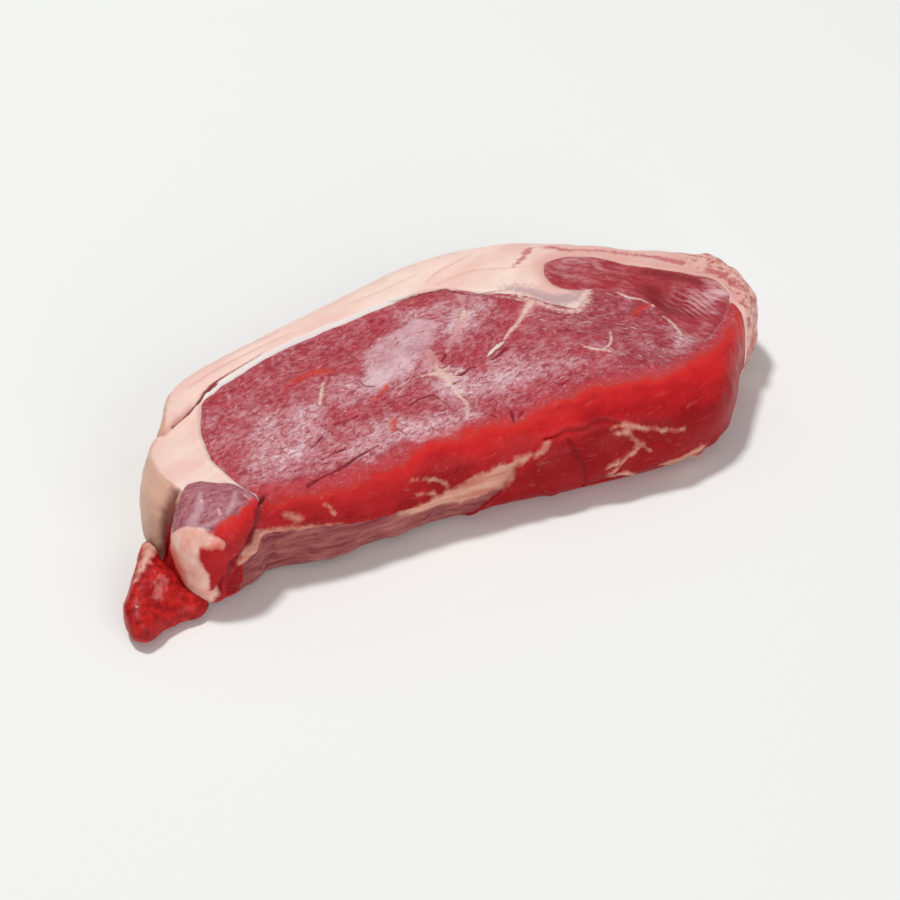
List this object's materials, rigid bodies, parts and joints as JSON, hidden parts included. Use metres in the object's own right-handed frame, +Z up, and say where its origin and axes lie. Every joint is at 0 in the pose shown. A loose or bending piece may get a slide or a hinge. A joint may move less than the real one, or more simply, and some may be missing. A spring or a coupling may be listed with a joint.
{
  "type": "raw sirloin steak",
  "caption": "Thick raw sirloin steak lying flat: red eye muscle and cap muscle wrapped by a fat layer at the back and left end, with a fatty tail of lean at one corner.",
  "frame": {"origin": "middle of the underside's bounding box, on the surface the steak lies on", "axes": "+X along the steak to its thick right end, +Y to the fat at the back, +Z up through the slice"},
  "size_m": [0.2132, 0.1146, 0.0289],
  "materials": {
    "lean": "moist raw lean: pinkish-purple grained cut face, bright red wet side",
    "cap_lean": "moist raw lean, darker red, with long coarse fibres",
    "fat": "smooth waxy cream to pink fat with a dull sheen",
    "tail_lean": "moist raw lean: purple-grey on top, bright wet red on the wall",
    "tail_fat": "soft salmon-pink fat with a slight wet sheen",
    "tongue_lean": "wet deep red lean",
    "sinew": "thin whitish connective tissue, smooth with a wet sheen"
  },
  "bodies": {
    "root": {"eye": "lean", "cap_muscle": "cap_lean", "fat_cap": "fat", "tail_lean": "tail_lean", "tail_fat": "tail_fat", "tail_tongue": "tongue_lean"}
  },
  "joints": []
}
